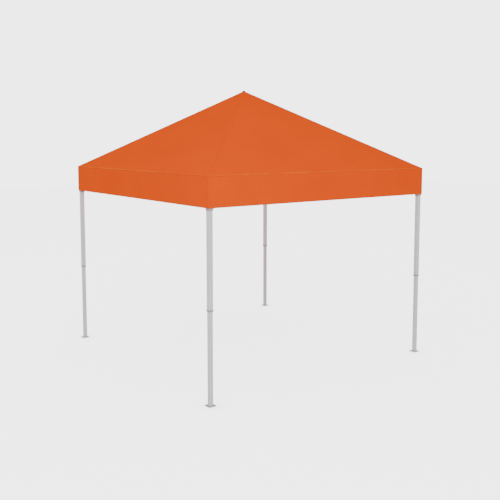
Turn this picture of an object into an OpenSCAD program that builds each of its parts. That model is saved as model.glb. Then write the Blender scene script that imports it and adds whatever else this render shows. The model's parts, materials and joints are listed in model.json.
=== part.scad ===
// Pop-up canopy shelter: four telescopic legs, a scissor frame of two-bar crosses along each
// side and each diagonal, a sliding centre mast, and a pyramid canopy with a straight valance.
// Millimetres, +Z up. The origin is on the ground, under the peak.

/* [Shelter] */
// Distance between the leg centres along one side
leg_span = 2900; // [2700:10:2900]
// How far the canopy stands out past the leg centres
overhang = 30; // [28:1:60]
// Height of the eave
eave_z = 2175; // [2100:1:2300]
// Height of the peak
peak_z = 3078; // [2900:1:3150]
// Depth of the valance below the eave
valance_depth = 300; // [200:1:320]
// Thickness of the canopy cloth
cloth_t = 1; // [0.8:0.1:2]

/* [Legs] */
// Outside width of the upper leg tube
upper_leg_w = 45; // [44:1:46]
// Outside width of the lower leg tube
lower_leg_w = 40; // [37:1:40]
// Wall of both leg tubes
leg_wall = 0.9; // [0.8:0.1:1.5]
// Height of the lower end of the upper leg tube
leg_joint_z = 915; // [900:1:1000]
// Length of lower leg that stays inside the upper leg
leg_overlap = 350; // [200:10:400]
// Width of the square foot plate
foot_w = 80; // [76:1:110]
// Thickness of the foot plate
foot_t = 5; // [3:0.5:8]
// Radius of each stake hole
stake_hole_r = 4.5; // [4:0.5:6]
// Distance between the two stake holes of a foot
stake_spacing = 58; // [54:1:60]

/* [Scissor frame] */
// Length of a side bar between its end pivots
bar_pitch = 958; // [945:1:1000]
// Height of a bar's section
bar_h = 22; // [20:1:24]
// Thickness of a bar's section
bar_t = 12; // [10:1:12]
// Wall of the bar tube
bar_wall = 0.8; // [0.7:0.1:1.4]
// Distance from a leg centre to the side pivots
side_reach = 60; // [58:1:64]
// Distance from a leg centre to the diagonal pivot
arm_reach = 49; // [48:1:50]
// Radius of the pivot bolts
bolt_r = 3; // [2.5:0.5:3]
// Depth of the top pivots below the eave
pivot_drop = 38; // [36:1:60]

/* [Mast] */
// Radius of the mast tube
mast_r = 12.5; // [10:0.5:13]
// Radius of the plastic cap that lifts the canopy
cap_r = 45; // [30:1:60]

/* [Hidden] */
$fn = 48;
steel_color = [0.83, 0.84, 0.85];
bracket_color = [0.62, 0.63, 0.65];
foot_color = [0.6, 0.61, 0.62];
bolt_color = [0.72, 0.73, 0.75];
button_color = [0.25, 0.26, 0.28];
cloth_color = [0.95, 0.38, 0.05];

LEGS = ["front_left", "front_right", "back_right", "back_left"];
SIDES = ["front", "right", "back", "left"];
SLOPES = ["falling", "rising"];

half_span = leg_span / 2;
half_roof = half_span + overhang;
pivot_z = eave_z - pivot_drop;
// Slope of every bar when the shelter stands open
bar_angle = acos((half_span - side_reach) / (1.5 * bar_pitch));
run = bar_pitch * cos(bar_angle);
rise = bar_pitch * sin(bar_angle);
// Diagonal bars are longer, so that the arms span the diagonal at the same slope
arm_pitch = bar_pitch * 0.75 * sqrt(2);
arm_run = arm_pitch * cos(bar_angle);
arm_rise = arm_pitch * sin(bar_angle);
hub_reach = sqrt(2) * side_reach - arm_reach;
// Each truss has two layers of bars, either side of its middle plane
layer = bar_t / 2 + 0.5;
truss_half = bar_t + 0.5;
hole_r = bolt_r + 0.05;
eye_r = bar_h / 2;
slider_half = upper_leg_w / 2 + 4;
slider_z = pivot_z - rise;
leg_top_z = eave_z - 8;
fit = 0.1;

// ---- shared shapes ----

// Rounded rectangle centred on the origin, with true arcs at its corners
module rounded_rect(w, h, r) {
    square([w - 2 * r, h], center = true);
    square([w, h - 2 * r], center = true);
    for (x = [-1, 1], y = [-1, 1])
        translate([x * (w / 2 - r), y * (h / 2 - r)])
            circle(r);
}

// Square tube standing on the XY plane
module leg_tube(w, length) {
    linear_extrude(length)
        difference() {
            rounded_rect(w, w, 3);
            rounded_rect(w - 2 * leg_wall, w - 2 * leg_wall, 1.8);
        }
}

// Cylinder along Y, centred on the XZ plane
module across(r, length) {
    rotate([90, 0, 0])
        cylinder(r = r, h = length, center = true);
}

// Bolt along Y with a round head and a hexagon nut, just clear of both layers of a truss
module pivot_bolt() {
    seat = truss_half + 0.2;
    color(bolt_color) {
        across(bolt_r, 2 * seat + 2);
        translate([0, -seat, 0])
            rotate([90, 0, 0])
                cylinder(r = 6, h = 2.6);
        translate([0, seat, 0])
            rotate([-90, 0, 0])
                cylinder(r = 5.8, h = 3.6, $fn = 6);
    }
}

// Plastic eye at the end of a bar: its pivot is at the origin and its tongue points along +X
module bar_eye() {
    shoulder = 16;
    tongue_h = bar_h - 2 * bar_wall - 2 * fit;
    tongue_t = bar_t - 2 * bar_wall - 2 * fit;
    color(bracket_color)
        difference() {
            union() {
                across(eye_r, bar_t);
                translate([0, -bar_t / 2, -bar_h / 2])
                    cube([shoulder, bar_t, bar_h]);
                translate([shoulder - 1, -tongue_t / 2, -tongue_h / 2])
                    cube([26, tongue_t, tongue_h]);
            }
            across(hole_r, bar_t + 2);
        }
}

// Scissor bar along +X with its end pivots at 0 and length, and a crossing hole
module bar(length, crossing) {
    tube_start = 16 + fit;
    color(steel_color)
        difference() {
            translate([tube_start, 0, 0])
                rotate([90, 0, 90])
                    linear_extrude(length - 2 * tube_start)
                        difference() {
                            rounded_rect(bar_t, bar_h, 2);
                            square([bar_t - 2 * bar_wall, bar_h - 2 * bar_wall], center = true);
                        }
            translate([crossing, 0, 0])
                across(5.5, bar_t + 2);
        }
    color(bracket_color)
        translate([crossing, 0, 0])
            difference() {
                across(5.4, bar_t);
                across(hole_r, bar_t + 2);
            }
    bar_eye();
    translate([length, 0, 0])
        mirror([1, 0, 0])
            bar_eye();
}

// Tab of a bracket, reaching from the bracket's wall to a pivot along +X, in one layer
module tab(wall, reach, side) {
    translate([0, side * layer, 0])
        difference() {
            union() {
                translate([reach, 0, 0])
                    across(eye_r, bar_t);
                translate([wall, -bar_t / 2, -eye_r])
                    cube([reach - wall, bar_t, bar_h]);
            }
            translate([reach, 0, 0])
                across(hole_r, bar_t + 2);
        }
}

// The three tabs of a corner: one along each side and one along the diagonal
module corner_tabs(side) {
    for (turn = [0, 90])
        rotate([0, 0, turn])
            tab(slider_half - 1, side_reach, side);
    rotate([0, 0, 45])
        tab(slider_half - 3, arm_reach, side);
}

// The three pivot bolts of a corner
module corner_bolts() {
    for (turn = [0, 90])
        rotate([0, 0, turn])
            translate([side_reach, 0, 0])
                pivot_bolt();
    rotate([0, 0, 45])
        translate([arm_reach, 0, 0])
            pivot_bolt();
}

// Moves a shape from the front left corner to corner k
module at_corner(k) {
    rotate([0, 0, 90 * k])
        translate([-half_span, -half_span, 0])
            children();
}

// Moves a shape onto diagonal arm k, with +X pointing outward
module at_arm(k) {
    rotate([0, 0, 225 + 90 * k])
        children();
}

// ---- legs ----

// Upper leg tube, with its corner bracket, its collar and its height button
module upper_leg(k) {
    at_corner(k) {
        color(steel_color)
            translate([0, 0, leg_joint_z])
                leg_tube(upper_leg_w, leg_top_z - leg_joint_z);
        translate([0, 0, pivot_z])
            corner_bracket();
        translate([0, 0, leg_joint_z])
            leg_collar();
    }
}

// Plastic cap of the leg, with a tab for each truss that meets here; pivots at height 0
module corner_bracket() {
    below = 30;
    cap_z = leg_top_z - pivot_z;
    color(bracket_color) {
        difference() {
            union() {
                translate([0, 0, -below])
                    linear_extrude(below + cap_z + 4)
                        rounded_rect(2 * slider_half, 2 * slider_half, 5);
                corner_tabs(-1);
            }
            translate([0, 0, -below - 1])
                linear_extrude(below + cap_z + 1 + fit)
                    rounded_rect(upper_leg_w + 2 * fit, upper_leg_w + 2 * fit, 3);
        }
    }
    corner_bolts();
}

// Plastic collar that guides the lower leg, with the thumb button that locks its height
module leg_collar() {
    below = 6;
    above = 10;
    collar_w = upper_leg_w + 5;
    color(bracket_color)
        difference() {
            translate([0, 0, -below])
                linear_extrude(below + above)
                    rounded_rect(collar_w, collar_w, 4);
            translate([0, 0, -below - 1])
                linear_extrude(below + above + 2)
                    rounded_rect(lower_leg_w + 2 * fit, lower_leg_w + 2 * fit, 2.9);
            translate([0, 0, -fit])
                linear_extrude(above + 1)
                    rounded_rect(upper_leg_w + 2 * fit, upper_leg_w + 2 * fit, 3);
        }
    color(button_color)
        translate([0, upper_leg_w / 2 + fit, 26])
            rotate([-90, 0, 0])
                cylinder(r = 4, h = 4);
}

// Lower leg tube with its top guide plug, its height holes and its welded foot plate
module lower_leg(k) {
    top_z = leg_joint_z + leg_overlap;
    guide_w = upper_leg_w - 2 * leg_wall - 2 * fit;
    hole_pitch = 100;
    at_corner(k) {
        color(steel_color)
            difference() {
                translate([0, 0, foot_t - 0.5])
                    leg_tube(lower_leg_w, top_z - foot_t);
                for (i = [1:4])
                    translate([0, lower_leg_w / 2, leg_joint_z + 26 - i * hole_pitch])
                        across(4.2, 8);
            }
        color(bracket_color)
            translate([0, 0, top_z])
                linear_extrude(12)
                    rounded_rect(guide_w, guide_w, 2);
        color(foot_color)
            linear_extrude(foot_t)
                difference() {
                    rounded_rect(foot_w, foot_w, 6);
                    for (x = [-1, 1])
                        translate([x * stake_spacing / 2, 0])
                            circle(stake_hole_r);
                }
    }
}

// Sleeve that rides on the upper leg and carries the lower ends of the trusses
module slider(k) {
    below = 40;
    above = 23;
    button_drop = 26;
    at_corner(k)
        translate([0, 0, slider_z]) {
            color(bracket_color)
                difference() {
                    union() {
                        translate([0, 0, -below])
                            linear_extrude(below + above)
                                rounded_rect(2 * slider_half, 2 * slider_half, 5);
                        corner_tabs(1);
                        translate([slider_half - 1, 0, -button_drop])
                            rotate([0, 90, 0])
                                cylinder(r = 9, h = 12);
                    }
                    translate([0, 0, -below - 1])
                        linear_extrude(below + above + 2)
                            rounded_rect(upper_leg_w + 0.6, upper_leg_w + 0.6, 3.3);
                    translate([slider_half + 0.6, 0, -button_drop])
                        rotate([0, 90, 0])
                            cylinder(r = 6.05, h = 12);
                }
            corner_bolts();
        }
}

// Thumb button that releases a slider: it presses towards the leg
module slider_button(k) {
    at_corner(k)
        color(button_color)
            translate([slider_half + 5, 0, slider_z - 26])
                rotate([0, 90, 0])
                    cylinder(r = 6, h = 10);
}

// ---- scissor trusses ----

// Bar of a side truss: falling bars lie in the inner layer and rising bars in the outer one
module side_bar(side, unit, slope) {
    falling = slope == "falling";
    at_corner(side)
        translate([side_reach + (unit - 1) * run, 0, falling ? pivot_z : slider_z])
            rotate([0, falling ? bar_angle : -bar_angle, 0]) {
                translate([0, falling ? layer : -layer, 0])
                    bar(bar_pitch, bar_pitch / 2);
                if (!falling)
                    translate([bar_pitch / 2, 0, 0])
                        pivot_bolt();
                if (unit < 3)
                    translate([bar_pitch, 0, 0])
                        pivot_bolt();
            }
}

// Bar of a diagonal arm: unit 1 starts at the hubs and unit 2 ends at the corner
module arm_bar(k, unit, slope) {
    falling = slope == "falling";
    joint_z = falling ? pivot_z - rise + arm_rise : pivot_z - arm_rise;
    start_z = unit == 2 ? joint_z : falling ? pivot_z : slider_z;
    crossing = unit == 1 ? bar_pitch / 2 : arm_pitch - bar_pitch / 2;
    at_arm(k)
        translate([hub_reach + (unit - 1) * arm_run, 0, start_z])
            rotate([0, falling ? bar_angle : -bar_angle, 0]) {
                translate([0, falling ? layer : -layer, 0])
                    bar(arm_pitch, crossing);
                if (!falling)
                    translate([crossing, 0, 0])
                        pivot_bolt();
                if (unit == 1)
                    translate([arm_pitch, 0, 0])
                        pivot_bolt();
            }
}

// ---- hubs and mast ----

// Hub block with four tabs, bored for the mast; its pivots are at height 0
module hub_block(below, above, side) {
    hub_r = 21;
    color(bracket_color)
        difference() {
            union() {
                translate([0, 0, -below])
                    cylinder(r = hub_r, h = below + above);
                for (k = [0:3])
                    at_arm(k)
                        tab(hub_r - 3, hub_reach, side);
            }
            translate([0, 0, 4 - below])
                cylinder(r = mast_r + 0.05, h = below + above);
        }
    for (k = [0:3])
        at_arm(k)
            translate([hub_reach, 0, 0])
                pivot_bolt();
}

// Hub at the height of the eave: the mast slides through it
module upper_hub() {
    translate([0, 0, pivot_z])
        difference() {
            hub_block(18, 24, -1);
            translate([0, 0, -20])
                cylinder(r = mast_r + 0.05, h = 10);
        }
}

// Hub that carries the foot of the mast
module lower_hub() {
    translate([0, 0, slider_z])
        hub_block(20, 30, 1);
}

// Mast tube with the cap that the canopy rests on
module peak_mast() {
    foot_z = slider_z - 16;
    rim_z = peak_z - 33;
    color(steel_color)
        translate([0, 0, foot_z])
            difference() {
                cylinder(r = mast_r, h = rim_z - foot_z);
                translate([0, 0, -1])
                    cylinder(r = mast_r - leg_wall, h = rim_z - foot_z + 2);
            }
    color(bracket_color)
        difference() {
            union() {
                translate([0, 0, rim_z])
                    cylinder(r1 = cap_r, r2 = 6, h = 22);
                translate([0, 0, rim_z - 5])
                    cylinder(r = cap_r, h = 5);
                translate([0, 0, rim_z - 34])
                    cylinder(r = mast_r + 4, h = 32);
            }
            translate([0, 0, rim_z - 35])
                cylinder(r = mast_r + 0.05, h = 35 + fit);
        }
}

// ---- canopy ----

// Closed solid of the cloth: four gores and four valance panels, with true mitres
module canopy() {
    cut = 0.2;
    color(cloth_color)
        for (k = [0:3])
            rotate([0, 0, 90 * k]) {
                intersection() {
                    translate([0, half_roof, 0])
                        rotate([90, 0, 0])
                            linear_extrude(2 * half_roof)
                                polygon([
                                    [0, peak_z],
                                    [half_roof, eave_z],
                                    [half_roof, eave_z - cloth_t],
                                    [0, peak_z - cloth_t]
                                ]);
                    translate([0, 0, eave_z - 10])
                        linear_extrude(peak_z - eave_z + 20)
                            polygon([
                                [cut, 0],
                                [half_roof, half_roof - cut],
                                [half_roof, cut - half_roof]
                            ]);
                }
                translate([half_roof - cloth_t, 0, eave_z - valance_depth])
                    linear_extrude(valance_depth - cloth_t - cut)
                        polygon([
                            [0, half_roof - cloth_t - cut],
                            [cloth_t, half_roof - cut],
                            [cloth_t, cut - half_roof],
                            [0, cloth_t + cut - half_roof]
                        ]);
            }
}

canopy();
peak_mast();
upper_hub();
lower_hub();
for (k = [0:3]) {
    upper_leg(k);
    lower_leg(k);
    slider(k);
    slider_button(k);
    for (slope = SLOPES) {
        for (unit = [1:3])
            side_bar(k, unit, slope);
        for (unit = [1:2])
            arm_bar(k, unit, slope);
    }
}
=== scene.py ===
import json
import math

import bpy
import numpy as np
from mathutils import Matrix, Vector

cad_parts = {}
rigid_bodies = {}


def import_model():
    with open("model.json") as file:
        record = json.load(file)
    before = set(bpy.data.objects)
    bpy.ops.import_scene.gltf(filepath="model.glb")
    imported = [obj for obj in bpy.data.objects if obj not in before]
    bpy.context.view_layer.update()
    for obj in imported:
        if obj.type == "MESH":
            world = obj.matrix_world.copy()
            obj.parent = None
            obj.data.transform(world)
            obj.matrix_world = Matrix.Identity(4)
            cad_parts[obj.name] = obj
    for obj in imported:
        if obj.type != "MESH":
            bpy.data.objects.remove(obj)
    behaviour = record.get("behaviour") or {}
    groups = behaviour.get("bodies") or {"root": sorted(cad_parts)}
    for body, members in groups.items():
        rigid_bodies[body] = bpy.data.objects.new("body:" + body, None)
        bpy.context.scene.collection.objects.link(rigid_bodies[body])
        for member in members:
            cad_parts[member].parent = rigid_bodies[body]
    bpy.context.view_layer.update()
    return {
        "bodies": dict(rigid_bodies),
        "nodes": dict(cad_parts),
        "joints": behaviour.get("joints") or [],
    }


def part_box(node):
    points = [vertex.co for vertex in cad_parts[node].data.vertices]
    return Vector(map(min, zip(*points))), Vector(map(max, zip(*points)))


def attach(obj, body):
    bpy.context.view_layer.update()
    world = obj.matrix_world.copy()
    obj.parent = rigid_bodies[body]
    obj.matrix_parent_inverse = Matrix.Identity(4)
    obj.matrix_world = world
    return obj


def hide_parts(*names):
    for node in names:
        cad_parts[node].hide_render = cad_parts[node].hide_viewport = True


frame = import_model()

nodes = frame["nodes"]
joints = {j["name"]: j for j in frame["joints"]}

MM = 0.001
LEGS = ("front_left", "front_right", "back_right", "back_left")
# Sign of x and y at each leg, in the order of LEGS
LEG_SIGNS = ((-1, -1), (1, -1), (1, 1), (-1, 1))

# ---- sizes read from the frame ----

# Height of the cloth's eave above the top of a leg's bracket
EAVE_GAP = 4 * MM

canopy_low, canopy_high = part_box("canopy")
HALF = canopy_high.x
PEAK_Z = canopy_high.z
HEM_Z = canopy_low.z
_, leg_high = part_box("front_right_upper_leg")
EAVE_Z = leg_high.z + EAVE_GAP
ROOF_RISE = PEAK_Z - EAVE_Z
VALANCE = EAVE_Z - HEM_Z


def place(joint):
    """The point on a hinge's axis at rest."""
    return Vector(joints[joint]["pos_m"])


# How far each leg moves in x and in y, and how far the mast drops, when the frame is folded
half_bar = place("front_cross_1") - place("front_bar_1_fold")
BAR = 2 * half_bar.length
OPEN_ANGLE = math.atan2(-half_bar.z, half_bar.x)
FOLDED_ANGLE = OPEN_ANGLE + math.radians(joints["frame_fold"]["range_deg"][1])
LEG_TRAVEL = 1.5 * BAR * (math.cos(OPEN_ANGLE) - math.cos(FOLDED_ANGLE))
MAST_DROP = BAR * (math.sin(FOLDED_ANGLE) - math.sin(OPEN_ANGLE))
FOLDED_HALF = HALF - LEG_TRAVEL


# ---- camera, light and floor ----

# Where the photo was taken from, which way the camera faces, and its lens, from the fit to the photo
CAMERA_AZIMUTH = math.radians(53.913)
CAMERA_DISTANCE = 8.424
CAMERA_HEIGHT = 2.494
CAMERA_HEADING = math.radians(53.416)
CAMERA_PITCH = math.radians(-5.671)
CAMERA_LENS = 50.373
# The photo's uprights are nearly parallel, so part of the camera's tilt is a shift of the picture
CAMERA_SHIFT = -0.08
SENSOR_WIDTH = 36
FAR_CLIP = 200

# The lights aim at the middle of the shelter
LIGHT_AIM = Vector((0, 0, 1.4))
FLOOR_SIZE = 60
# Strength of the white surroundings, as a light and as the backdrop
SKY_LIGHT = 0.8
SKY_BACKDROP = 4.2


def make_camera():
    camera = bpy.data.objects.new("camera", bpy.data.cameras.new("camera"))
    bpy.context.scene.collection.objects.link(camera)
    camera.location = (
        CAMERA_DISTANCE * math.sin(CAMERA_AZIMUTH),
        -CAMERA_DISTANCE * math.cos(CAMERA_AZIMUTH),
        CAMERA_HEIGHT,
    )
    aim = Vector((
        -math.sin(CAMERA_HEADING) * math.cos(CAMERA_PITCH),
        math.cos(CAMERA_HEADING) * math.cos(CAMERA_PITCH),
        math.sin(CAMERA_PITCH),
    ))
    camera.rotation_euler = aim.to_track_quat("-Z", "Y").to_euler()
    camera.data.sensor_width = SENSOR_WIDTH
    camera.data.lens = CAMERA_LENS
    camera.data.shift_y = CAMERA_SHIFT
    camera.data.clip_end = FAR_CLIP
    bpy.context.scene.camera = camera


def area_light(name, location, size, power):
    light = bpy.data.objects.new(name, bpy.data.lights.new(name, "AREA"))
    light.data.shape = "DISK"
    light.data.size = size
    light.data.energy = power
    light.location = location
    aim = LIGHT_AIM - Vector(location)
    light.rotation_euler = aim.to_track_quat("-Z", "Y").to_euler()
    bpy.context.scene.collection.objects.link(light)


def make_light():
    world = bpy.data.worlds.new("studio")
    bpy.context.scene.world = world
    world.use_nodes = True
    tree = world.node_tree
    sky = tree.nodes["Background"]
    sky.inputs["Color"].default_value = (1, 1, 1, 1)
    seen = tree.nodes.new("ShaderNodeLightPath")
    strength = tree.nodes.new("ShaderNodeMapRange")
    strength.inputs["To Min"].default_value = SKY_LIGHT
    strength.inputs["To Max"].default_value = SKY_BACKDROP
    tree.links.new(seen.outputs["Is Camera Ray"], strength.inputs["Value"])
    tree.links.new(strength.outputs[0], sky.inputs["Strength"])
    area_light("key", (8.2, -5.6, 7.2), 5.0, 420)
    area_light("fill", (-6.0, -7.0, 5.5), 6.0, 70)


def make_floor():
    bpy.ops.mesh.primitive_plane_add(size=FLOOR_SIZE, location=(0, 0, 0))
    floor = bpy.context.object
    floor.name = "floor"
    floor.data.materials.append(floor_material())


# ---- material helpers ----


class Shader:
    """A node tree under construction: each method adds a node and returns its output."""

    def __init__(self, name):
        self.material = bpy.data.materials.new(name)
        self.material.use_nodes = True
        self.tree = self.material.node_tree
        self.surface = self.tree.nodes["Principled BSDF"]

    def node(self, kind, **settings):
        made = self.tree.nodes.new(kind)
        for key, value in settings.items():
            setattr(made, key, value)
        return made

    def put(self, socket, value):
        if isinstance(value, bpy.types.NodeSocket):
            self.tree.links.new(value, socket)
        else:
            socket.default_value = value

    def put_colour(self, socket, value):
        self.put(socket, value if isinstance(value, bpy.types.NodeSocket) else (*value, 1))

    def math(self, operation, a, b=0.0):
        made = self.node("ShaderNodeMath", operation=operation)
        for socket, value in zip(made.inputs, (a, b)):
            self.put(socket, value)
        return made.outputs[0]

    def object_point(self):
        return self.node("ShaderNodeTexCoord").outputs["Object"]

    def uv(self):
        split = self.node("ShaderNodeSeparateXYZ")
        self.put(split.inputs[0], self.node("ShaderNodeUVMap", uv_map="cloth").outputs[0])
        return split.outputs[0], split.outputs[1]

    def noise(self, scale, detail=3.0):
        made = self.node("ShaderNodeTexNoise")
        self.put(made.inputs["Vector"], self.object_point())
        self.put(made.inputs["Scale"], scale)
        self.put(made.inputs["Detail"], detail)
        return made.outputs["Fac"]

    def ramp(self, value, low, high, out_low, out_high):
        made = self.node("ShaderNodeMapRange")
        made.clamp = True
        for socket, v in zip(made.inputs, (value, low, high, out_low, out_high)):
            self.put(socket, v)
        return made.outputs[0]

    def mix(self, share, a, b):
        made = self.node("ShaderNodeMix", data_type="RGBA")
        self.put(made.inputs["Factor"], share)
        self.put_colour(made.inputs["A"], a)
        self.put_colour(made.inputs["B"], b)
        return made.outputs["Result"]

    def bump(self, height, distance, strength=1.0, normal=None):
        made = self.node("ShaderNodeBump")
        self.put(made.inputs["Height"], height)
        self.put(made.inputs["Distance"], distance)
        self.put(made.inputs["Strength"], strength)
        if normal is not None:
            self.put(made.inputs["Normal"], normal)
        return made.outputs[0]

    def finish(self, colour, roughness, normal=None, **fixed):
        self.put_colour(self.surface.inputs["Base Color"], colour)
        self.put(self.surface.inputs["Roughness"], roughness)
        if normal is not None:
            self.put(self.surface.inputs["Normal"], normal)
        for key, value in fixed.items():
            self.surface.inputs[key.replace("_", " ")].default_value = value
        return self.material


# ---- materials ----

ORANGE = (1.0, 0.096, 0.0)
ORANGE_DARK = (0.96, 0.088, 0.0)
THREAD = (1.0, 0.17, 0.01)
WELT = (1.0, 0.15, 0.012)

# Distance over which a painted contact shadow dims the floor's glow round a foot, and the brightness of
# the open floor
CONTACT_SHADE = 0.16
FLOOR_GLOW = 3.3

THREAD_PITCH = 1.3 * MM
STITCH_LENGTH = 4.5 * MM


def floor_material():
    """A pale floor that glows as bright as the backdrop, with a painted contact shadow that dims the
    glow close to what stands on it.
    """
    s = Shader("floor")
    tone = s.mix(s.noise(0.6), (0.9, 0.9, 0.9), (0.93, 0.93, 0.93))
    seen = s.node("ShaderNodeLightPath").outputs["Is Camera Ray"]
    near = s.node("ShaderNodeAmbientOcclusion", samples=8)
    near.inputs["Distance"].default_value = CONTACT_SHADE
    # Painted contact shadow: the glow that the camera sees drops where ambient occlusion finds something
    # close
    glow_with_painted_shadow = s.ramp(near.outputs["AO"], 0.3, 1, 0.4, FLOOR_GLOW)
    s.put(s.surface.inputs["Emission Strength"], s.math("MULTIPLY", seen, glow_with_painted_shadow))
    return s.finish(tone, 0.9, Emission_Color=(1, 1, 1, 1), Specular_IOR_Level=0.0)


def cloth_material(name, stitch_rows=(), welt=False):
    """Coated polyester: plain weave, faint mottling, and rows of stitches at the given V."""
    s = Shader(name)
    u, v = s.uv()
    thread = 2 * math.pi / THREAD_PITCH
    warp = s.math("SINE", s.math("MULTIPLY", u, thread))
    weft = s.math("SINE", s.math("MULTIPLY", v, thread))
    weave = s.math("MULTIPLY", warp, weft)
    mottle = s.noise(2.2, 5.0)
    tone = s.mix(s.ramp(mottle, 0.3, 0.7, 0, 1), ORANGE_DARK, ORANGE)
    tone = s.mix(s.ramp(weave, -1, 1, 0.0, 0.12), tone, ORANGE_DARK)
    if welt:
        tone = s.mix(s.ramp(s.noise(5.0), 0.42, 0.58, 0.15, 0.9), tone, WELT)
    normal = s.bump(s.noise(7.0, 3.0), 4 * MM, 0.25)
    normal = s.bump(weave, 0.15 * MM, 0.5, normal)
    if stitch_rows:
        row = None
        for at in stitch_rows:
            distance = s.math("ABSOLUTE", s.math("SUBTRACT", v, at))
            near = s.ramp(distance, 0.5 * MM, 0.9 * MM, 1, 0)
            row = near if row is None else s.math("MAXIMUM", row, near)
        phase = s.math("FRACT", s.math("DIVIDE", u, STITCH_LENGTH))
        dash = s.ramp(s.math("ABSOLUTE", s.math("SUBTRACT", phase, 0.5)), 0.3, 0.38, 1, 0)
        stitch = s.math("MULTIPLY", row, dash)
        tone = s.mix(stitch, tone, THREAD)
        normal = s.bump(stitch, 0.5 * MM, 0.8, normal)
    return s.finish(tone, s.ramp(mottle, 0.3, 0.7, 0.62, 0.74), normal, Specular_IOR_Level=0.0)


def coat_material(name, light, dark, roughness=0.38):
    """Powder coat: fine orange peel, faint patches, and dull scuffs."""
    s = Shader(name)
    patches = s.noise(9.0, 4.0)
    scuffs = s.ramp(s.noise(38.0, 8.0), 0.6, 0.72, 0, 1)
    tone = s.mix(s.ramp(patches, 0.35, 0.65, 0, 1), dark, light)
    tone = s.mix(s.math("MULTIPLY", scuffs, 0.35), tone, dark)
    rough = s.ramp(scuffs, 0, 1, roughness, roughness + 0.2)
    normal = s.bump(s.noise(1400.0, 2.0), 0.12 * MM, 0.35)
    return s.finish(tone, rough, normal)


def plastic_material(name, light, dark):
    """Moulded nylon with a spark-eroded grain."""
    s = Shader(name)
    tone = s.mix(s.ramp(s.noise(30.0, 4.0), 0.35, 0.65, 0, 1), dark, light)
    normal = s.bump(s.noise(1800.0, 3.0), 0.15 * MM, 0.5)
    return s.finish(tone, s.ramp(s.noise(90.0), 0.3, 0.7, 0.5, 0.62), normal)


def metal_material(name, light, dark):
    """Zinc plating: a faint spangle and small scratches."""
    s = Shader(name)
    cells = s.node("ShaderNodeTexVoronoi")
    s.put(cells.inputs["Vector"], s.object_point())
    s.put(cells.inputs["Scale"], 160.0)
    tone = s.mix(s.ramp(cells.outputs["Distance"], 0.0, 0.8, 0, 1), dark, light)
    normal = s.bump(s.noise(700.0, 6.0), 0.08 * MM, 0.4)
    return s.finish(tone, s.ramp(s.noise(60.0, 6.0), 0.3, 0.7, 0.3, 0.5), normal, Metallic=0.85)


leg_coat = coat_material("leg_coat", (0.92, 0.925, 0.93), (0.86, 0.865, 0.87))
bar_coat = coat_material("bar_coat", (0.82, 0.825, 0.83), (0.74, 0.745, 0.75), 0.34)
bracket_nylon = plastic_material("bracket_nylon", (0.5, 0.505, 0.515), (0.43, 0.435, 0.445))
dark_nylon = plastic_material("dark_nylon", (0.05, 0.05, 0.055), (0.035, 0.035, 0.04))
zinc = metal_material("zinc", (0.6, 0.61, 0.63), (0.5, 0.51, 0.53))
plain_cloth = cloth_material("canopy_cloth")

FRAME_LOOKS = (leg_coat, bar_coat, bracket_nylon, dark_nylon, zinc)
LEG_COAT, BAR_COAT, NYLON, DARK_NYLON, ZINC = range(5)


# ---- materials of the CAD nodes ----

# A bolt's head is 12 mm across. Its box is longer along a side than on a diagonal
BOLT_HEAD = 12 * MM
BOLT_LENGTHS = (28 * MM, 33 * MM)
# Solids longer than this are tubes, and ones smaller than the other are height buttons
TUBE_LENGTH = 300 * MM
BUTTON_SIZE = 9 * MM
# Faces of a lower leg below this height belong to its foot plate
FOOT_TOP = 5.05 * MM


def solids(mesh):
    """The separate solids of a mesh, each as its face indices and the size of its box."""
    points = np.zeros(3 * len(mesh.vertices))
    mesh.vertices.foreach_get("co", points)
    points = points.reshape(-1, 3)
    _, shared = np.unique(np.round(points, 5), axis=0, return_inverse=True)
    corners = np.zeros(len(mesh.loops), np.int32)
    starts = np.zeros(len(mesh.polygons), np.int32)
    totals = np.zeros(len(mesh.polygons), np.int32)
    mesh.loops.foreach_get("vertex_index", corners)
    mesh.polygons.foreach_get("loop_start", starts)
    mesh.polygons.foreach_get("loop_total", totals)
    face = np.repeat(np.arange(len(starts)), totals)
    corner = shared.ravel()[corners]
    first = corner[starts][face]
    label = np.arange(corner.max() + 1)
    while True:
        before = label.copy()
        low = np.minimum(label[corner], label[first])
        np.minimum.at(label, corner, low)
        np.minimum.at(label, first, low)
        label = label[label]
        if (before == label).all():
            break
    owner = label[corner[starts]]
    found = []
    for solid in np.unique(owner):
        faces = np.flatnonzero(owner == solid)
        spot = points[corners[np.isin(face, faces)]]
        found.append((faces, np.ptp(spot, axis=0)))
    return found


def is_bolt(size):
    """Whether a solid's box is that of a pivot bolt, which lies level in its truss."""
    return abs(size[2] - BOLT_HEAD) < 0.1 * MM and BOLT_LENGTHS[0] < size.max() < BOLT_LENGTHS[1]


def dress_frame():
    """Coated tubes, nylon brackets, sliders, hubs and eyes, and zinc bolts and foot plates."""
    for name, node in nodes.items():
        if name == "canopy":
            continue
        mesh = node.data
        look = np.full(len(mesh.polygons), DARK_NYLON if name.endswith("_button") else NYLON)
        for faces, size in solids(mesh):
            if size.max() > TUBE_LENGTH:
                look[faces] = BAR_COAT if "_bar_" in name or "_arm_" in name else LEG_COAT
            elif is_bolt(size) or size.max() < BUTTON_SIZE:
                look[faces] = ZINC
        if name.endswith("_lower_leg"):
            height = np.zeros(3 * len(mesh.polygons))
            mesh.polygons.foreach_get("center", height)
            look[height[2::3] < FOOT_TOP] = ZINC
        mesh.materials.clear()
        for material in FRAME_LOOKS:
            mesh.materials.append(material)
        mesh.polygons.foreach_set("material_index", look.astype(np.int32))
        mesh.update()


# ---- canopy ----

SIDE_STEPS = 96
ROOF_RINGS = 72
VALANCE_ROWS = 26
PANEL_SAG = 9 * MM
# Height of the small ripples above the eave, and how far the valance draws in and waves
RIPPLE = 1.2 * MM
VALANCE_DRAW = 3.5 * MM
VALANCE_WAVE = 1.0 * MM
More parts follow.
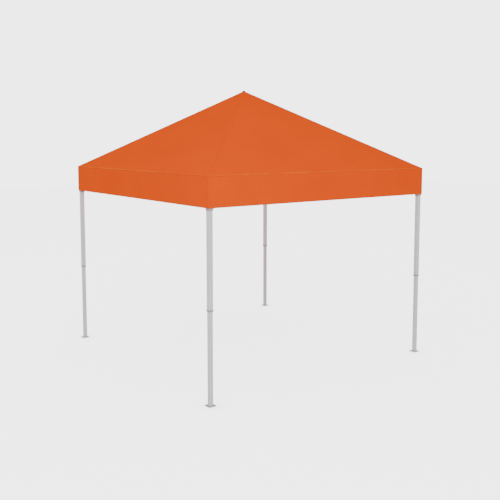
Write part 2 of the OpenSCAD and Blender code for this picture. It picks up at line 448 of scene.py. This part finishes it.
# The folded cloth: pleats on each side, and how far they stand out
PLEATS = 6
PLEAT_DEPTH = 0.05
MID_PLEAT_DEPTH = 0.07
SIDE_BULGE = 0.03
PLEAT_LIFT = 0.012
EAVE_LIFT = 0.02
# Radius round the peak where the cloth lies on the mast's cap
ON_CAP = 55 * MM
CLOTH_THICKNESS = 0.6 * MM
TAPE_THICKNESS = 0.5 * MM


def smooth(value, low, high):
    t = np.clip((value - low) / (high - low), 0, 1)
    return t * t * (3 - 2 * t)


def perimeter(steps):
    """Points round the unit square, counter-clockwise from the front left corner."""
    points = []
    for k in range(4):
        (ax, ay), (bx, by) = LEG_SIGNS[k], LEG_SIGNS[(k + 1) % 4]
        for i in range(steps):
            t = i / steps
            points.append((ax + (bx - ax) * t, ay + (by - ay) * t))
    return np.array(points)


def along_side(x, y):
    """Where a point is along its own side, from -1 to 1, and which axis its side faces."""
    faces_x = np.abs(x) > np.abs(y)
    reach = np.maximum(np.maximum(np.abs(x), np.abs(y)), 1e-6)
    return np.where(faces_x, y, x) / reach, faces_x


def roof_point(u, v, lift=0.0):
    """The cloth over a point of the unit square; each panel sags a little between its hips."""
    level = np.maximum(np.abs(u), np.abs(v))
    along, _ = along_side(u, v)
    sag = PANEL_SAG * 4 * level * (1 - level) * (1 - along**2)
    rippled = smooth(level, 0.5, 1) * (1 - smooth(level, 0.93, 1))
    ripple = RIPPLE * np.sin(9 * np.pi * along) * rippled
    z = PEAK_Z - ROOF_RISE * level - sag + ripple + lift
    return np.stack([u * HALF, v * HALF, z], axis=-1)


def valance_point(u, v, depth, out=0.0):
    """The cloth at a depth below the eave, drawn in a little between the corners."""
    along, faces_x = along_side(u, v)
    share = depth / VALANCE
    draw = VALANCE_DRAW * share * (1 - along**2)
    draw += VALANCE_WAVE * share * np.sin(7 * np.pi * along + 0.6)
    reach = HALF - draw * (1 - along**6) + out
    x = np.where(faces_x, np.sign(u) * reach, u * HALF)
    y = np.where(faces_x, v * HALF, np.sign(v) * reach)
    corner = np.abs(along) > 0.9999
    x = np.where(corner, np.sign(u) * (HALF + out), x)
    y = np.where(corner, np.sign(v) * (HALF + out), y)
    return np.stack([x, y, np.broadcast_to(EAVE_Z - depth, x.shape)], axis=-1)


def folded_point(points):
    """Where the cloth at these points hangs when the frame is folded."""
    x, y, z = points.T
    level = np.clip(np.maximum(np.abs(x), np.abs(y)) / HALF, 0, 1)
    depth = np.clip((EAVE_Z - z) / VALANCE, 0, 1) * (level > 0.99)
    along, faces_x = along_side(x, y)
    ridge = 0.5 - 0.5 * np.cos(2 * np.pi * PLEATS * (along + 1) / 2)
    inner = (1 - np.abs(along)) ** 0.5
    # The cloth keeps its shape on the mast's cap, and gathers beyond the cap's rim
    rim = ON_CAP / HALF
    beyond = np.clip((level - rim) / (1 - rim), 0, 1)
    spread = np.minimum(level, rim) * HALF + (FOLDED_HALF - ON_CAP) * beyond
    pleat = PLEAT_DEPTH + MID_PLEAT_DEPTH * inner
    bulge = ridge * pleat * smooth(beyond, 0.3, 1) * (0.75 + 0.5 * depth)
    bulge += SIDE_BULGE * smooth(beyond, 0.55, 1) * (1 - along**4)
    normal = np.where(faces_x, np.sign(x), np.sign(y)) * (spread + bulge)
    tangent = along * spread
    hip = along**4
    slope = ROOF_RISE / HALF
    above_eave = PEAK_Z - MAST_DROP - ON_CAP * slope - EAVE_Z
    profile = hip * (1 - beyond) + (1 - hip) * (1 - beyond) ** 2.6
    height = EAVE_Z + above_eave * profile + (ON_CAP - np.minimum(level, rim) * HALF) * slope
    height += PLEAT_LIFT * (ridge - 0.5) * smooth(beyond, 0.25, 0.6) * (1 - smooth(beyond, 0.85, 1))
    height += EAVE_LIFT * (1 - hip) * smooth(beyond, 0.6, 1) * (1 - depth)
    height -= depth * VALANCE
    return np.stack([
        np.where(faces_x, normal, tangent),
        np.where(faces_x, tangent, normal),
        height,
    ], axis=-1)


def fold_with_frame(piece, points):
    """Hooks cloth to the four legs and the mast, so that it gathers in pleats as the frame folds.

    points are the places on the sheet that the piece's vertices move with.
    """
    target = folded_point(points)
    share_x = np.clip((points[:, 0] - target[:, 0]) / LEG_TRAVEL, -1, 1)
    share_y = np.clip((points[:, 1] - target[:, 1]) / LEG_TRAVEL, -1, 1)
    weights = {
        leg + "_leg": (1 + sx * share_x) * (1 + sy * share_y) / 4
        for leg, (sx, sy) in zip(LEGS, LEG_SIGNS)
    }
    weights["lower_hub"] = np.clip((points[:, 2] - target[:, 2]) / MAST_DROP, 0, 1)
    for body, share in weights.items():
        group = piece.vertex_groups.new(name=body)
        for index, weight in enumerate(share):
            if weight > 1e-4:
                group.add([index], float(weight), "REPLACE")
        hook = piece.modifiers.new("follow_" + body, "HOOK")
        hook.object = frame["bodies"][body]
        hook.vertex_group = group.name
        hook.falloff_type = "NONE"
        hook.strength = 1


def mesh_piece(name, points, faces, uvs, material):
    mesh = bpy.data.meshes.new(name)
    mesh.from_pydata([tuple(p) for p in points], [], faces)
    layer = mesh.uv_layers.new(name="cloth")
    for loop, uv in enumerate(uvs):
        layer.data[loop].uv = uv
    mesh.materials.append(material)
    mesh.polygons.foreach_set("use_smooth", [True] * len(mesh.polygons))
    mesh.update()
    piece = bpy.data.objects.new(name, mesh)
    bpy.context.scene.collection.objects.link(piece)
    return piece


def thicken(piece, thickness):
    """Gives cloth its thickness, below its own surface."""
    solid = piece.modifiers.new("thickness", "SOLIDIFY")
    solid.thickness = thickness
    solid.offset = -1


def band(name, rows, under, material, closed=False):
    """A tape sewn on the sheet, from rows of points along it.

    under holds the places on the sheet below those points.
    """
    rows, under = np.asarray(rows), np.asarray(under)
    lines, count = rows.shape[:2]
    faces, uvs = [], []
    step = np.linalg.norm(np.diff(rows[0], axis=0), axis=1)
    along = np.concatenate([[0], np.cumsum(step)])
    if closed:
        along = np.append(along, along[-1] + step.mean())
    gaps = np.linalg.norm(np.diff(rows[:, count // 3], axis=0), axis=1)
    across = np.concatenate([[0], np.cumsum(gaps)])
    for j in range(count if closed else count - 1):
        after = (j + 1) % count
        for row in range(lines - 1):
            a, b = row * count, (row + 1) * count
            faces.append((a + j, b + j, b + after, a + after))
            uvs += [
                (along[j], across[row]), (along[j], across[row + 1]),
                (along[j + 1], across[row + 1]), (along[j + 1], across[row]),
            ]
    piece = mesh_piece(name, rows.reshape(-1, 3), faces, uvs, material)
    fold_with_frame(piece, under.reshape(-1, 3))
    thicken(piece, TAPE_THICKNESS)
    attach(piece, "upper_hub")
    return piece


# How far each sewn piece stands off the sheet. The corner patches lie under it
TAPE_LIFT = 1.0 * MM
SEAM_ROOF_LIFT = 1.6 * MM
SEAM_VALANCE_LIFT = 1.5 * MM
PEAK_PATCH_LIFT = 1.9 * MM
CORNER_PATCH_LIFT = -1.2 * MM
# Heights of the hem's lines above the valance's edge
HEM_ROWS = np.array((25, 19, 12.5, 6, 0)) * MM
# Reach of a corner patch from the eave towards the peak
CORNER_PATCH_REACH = 0.17


def make_hip_tapes():
    """A folded tape over each hip, from the peak to the corner and down the valance."""
    tapes = []
    tape_cloth = cloth_material("hip_tape", (4 * MM, 26 * MM))
    across = np.array((-15, -10, -4, -1, 0, 1, 4, 10, 15)) * MM
    for leg, (sx, sy) in zip(LEGS, LEG_SIGNS):
        levels = np.linspace(0.016, 1, 90)
        depths = np.linspace(0, VALANCE, 24)[1:]
        rows, under = [], []
        for offset in across:
            back = abs(offset) / HALF
            u = sx * (levels - back) if offset < 0 else sx * levels
            v = sy * levels if offset < 0 else sy * (levels - back)
            on_roof = roof_point(u, v)
            edge_u = sx * (1 - back) if offset < 0 else sx
            edge_v = sy if offset < 0 else sy * (1 - back)
            edge = np.full(len(depths), edge_u), np.full(len(depths), edge_v)
            on_valance = valance_point(*edge, depths)
            lifted = valance_point(*edge, depths, TAPE_LIFT)
            under.append(np.concatenate([on_roof, on_valance]))
            rows.append(np.concatenate([roof_point(u, v, TAPE_LIFT), lifted]))
        order = 1 if sx * sy < 0 else -1
        tapes.append(band(leg + "_hip_tape", rows[::order], under[::order], tape_cloth))
    return tapes


def make_eave_seam():
    """A narrow welt where the roof panels meet the valance, paler than the cloth."""
    square = perimeter(SIDE_STEPS)
    u, v = square.T
    rows, under = [], []
    for back in (10, 7, 3, 0.5):
        t = 1 - back * MM / HALF
        under.append(roof_point(u * t, v * t))
        rows.append(roof_point(u * t, v * t, SEAM_ROOF_LIFT))
    for depth in (1.5, 4, 7):
        under.append(valance_point(u, v, depth * MM))
        rows.append(valance_point(u, v, depth * MM, SEAM_VALANCE_LIFT))
    welt_cloth = cloth_material("eave_seam", (3 * MM, 14 * MM), welt=True)
    return band("eave_seam", rows, under, welt_cloth, closed=True)


def make_hem():
    """The turned-up bottom edge of the valance, with two rows of stitches."""
    square = perimeter(SIDE_STEPS)
    u, v = square.T
    depths = VALANCE - HEM_ROWS
    rows = [valance_point(u, v, d, TAPE_LIFT) for d in depths]
    under = [valance_point(u, v, d) for d in depths]
    hem_cloth = cloth_material("valance_hem", (4 * MM, 21 * MM))
    return band("valance_hem", rows, under, hem_cloth, closed=True)


def make_peak_patch():
    """A square of cloth sewn over the peak, open in the middle under the peak button."""
    square = perimeter(24)
    u, v = square.T
    rows, under = [], []
    for reach in (0.012, 0.03, 0.06, 0.085, 0.1):
        t = reach / HALF
        under.append(roof_point(u * t, v * t))
        rows.append(roof_point(u * t, v * t, PEAK_PATCH_LIFT))
    patch_cloth = cloth_material("peak_patch", (80 * MM, 84 * MM))
    return band("peak_patch", rows, under, patch_cloth, closed=True)


# Radius and height of the peak button's outline, in millimetres from the peak
BUTTON_PROFILE = (
    (0, 7), (5, 6.8), (10, 5.6), (13.5, 3.4), (15, 1.6), (17.5, 1.2), (18.5, 0), (18.5, -6.5), (0, -6.5),
)


def make_peak_button():
    """The small dark button that fastens the cloth to the mast's cap, a low dome on a rim."""
    turns = 40
    points, faces = [], []
    for radius, height in BUTTON_PROFILE:
        for i in range(turns):
            angle = 2 * math.pi * i / turns
            reach = radius * MM
            points.append((reach * math.cos(angle), reach * math.sin(angle), PEAK_Z + height * MM))
    for row in range(len(BUTTON_PROFILE) - 1):
        above, below = row * turns, (row + 1) * turns
        for i in range(turns):
            after = (i + 1) % turns
            faces.append((above + i, below + i, below + after, above + after))
    uvs = [(0, 0)] * (4 * len(faces))
    button = mesh_piece("peak_button", points, faces, uvs, dark_nylon)
    welded = button.modifiers.new("welded", "WELD")
    welded.merge_threshold = 0.01 * MM
    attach(button, "lower_hub")


def make_corner_patches():
    """Doubled cloth under the roof at each corner, where it lies on the leg's cap."""
    patches = []
    patch_cloth = cloth_material("corner_patch", (5 * MM, 9 * MM))
    for leg, (sx, sy) in zip(LEGS, LEG_SIGNS):
        rows, under = [], []
        for row in np.linspace(0, CORNER_PATCH_REACH, 12):
            line = []
            for side in np.linspace(-1, 1, 25):
                level = 1 - 0.004 - row / HALF
                back = abs(side) * row / HALF
                u = sx * (level - back) if side < 0 else sx * level
                v = sy * level if side < 0 else sy * (level - back)
                line.append((u, v))
            u, v = np.array(line).T
            under.append(roof_point(u, v))
            rows.append(roof_point(u, v, CORNER_PATCH_LIFT))
        patches.append(band(leg + "_corner_patch", rows, under, patch_cloth))
    return patches


def make_canopy():
    """One continuous sheet: rings from the peak to the eave, then rows down the valance."""
    square = perimeter(SIDE_STEPS)
    count = len(square)
    u, v = square.T
    levels = np.linspace(0, 1, ROOF_RINGS + 1)[1:]
    rings = [roof_point(u * t, v * t) for t in levels]
    depths = np.linspace(0, VALANCE, VALANCE_ROWS + 1)[1:]
    rings += [valance_point(u, v, d) for d in depths]
    points = np.concatenate([np.array([[0, 0, PEAK_Z]])] + rings)
    slant = math.hypot(HALF, ROOF_RISE)
    heights = [slant * (1 - t) for t in levels] + [-d for d in depths]
    spans = [HALF * t for t in levels] + [HALF] * VALANCE_ROWS
    faces, uvs = [], []
    for j in range(count):
        k, i = divmod(j, SIDE_STEPS)
        left, right = 2 * i / SIDE_STEPS - 1, 2 * (i + 1) / SIDE_STEPS - 1
        # Each side has its own place in the UV map
        shift = 4 * k
        after = (j + 1) % count
        faces.append((0, 1 + j, 1 + after))
        uvs += [
            (shift, slant),
            (shift + left * spans[0], heights[0]),
            (shift + right * spans[0], heights[0]),
        ]
        for ring in range(len(rings) - 1):
            top, bottom = 1 + ring * count, 1 + (ring + 1) * count
            faces.append((top + j, bottom + j, bottom + after, top + after))
            uvs += [
                (shift + left * spans[ring], heights[ring]),
                (shift + left * spans[ring + 1], heights[ring + 1]),
                (shift + right * spans[ring + 1], heights[ring + 1]),
                (shift + right * spans[ring], heights[ring]),
            ]
    sheet = mesh_piece("canopy_sheet", points, faces, uvs, plain_cloth)
    fold_with_frame(sheet, points)
    thicken(sheet, CLOTH_THICKNESS)
    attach(sheet, "upper_hub")
    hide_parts("canopy")
    return sheet


make_camera()
make_light()
make_floor()
dress_frame()
sheet = make_canopy()
sewn = make_hip_tapes() + [make_eave_seam(), make_hem(), make_peak_patch()] + make_corner_patches()
make_peak_button()
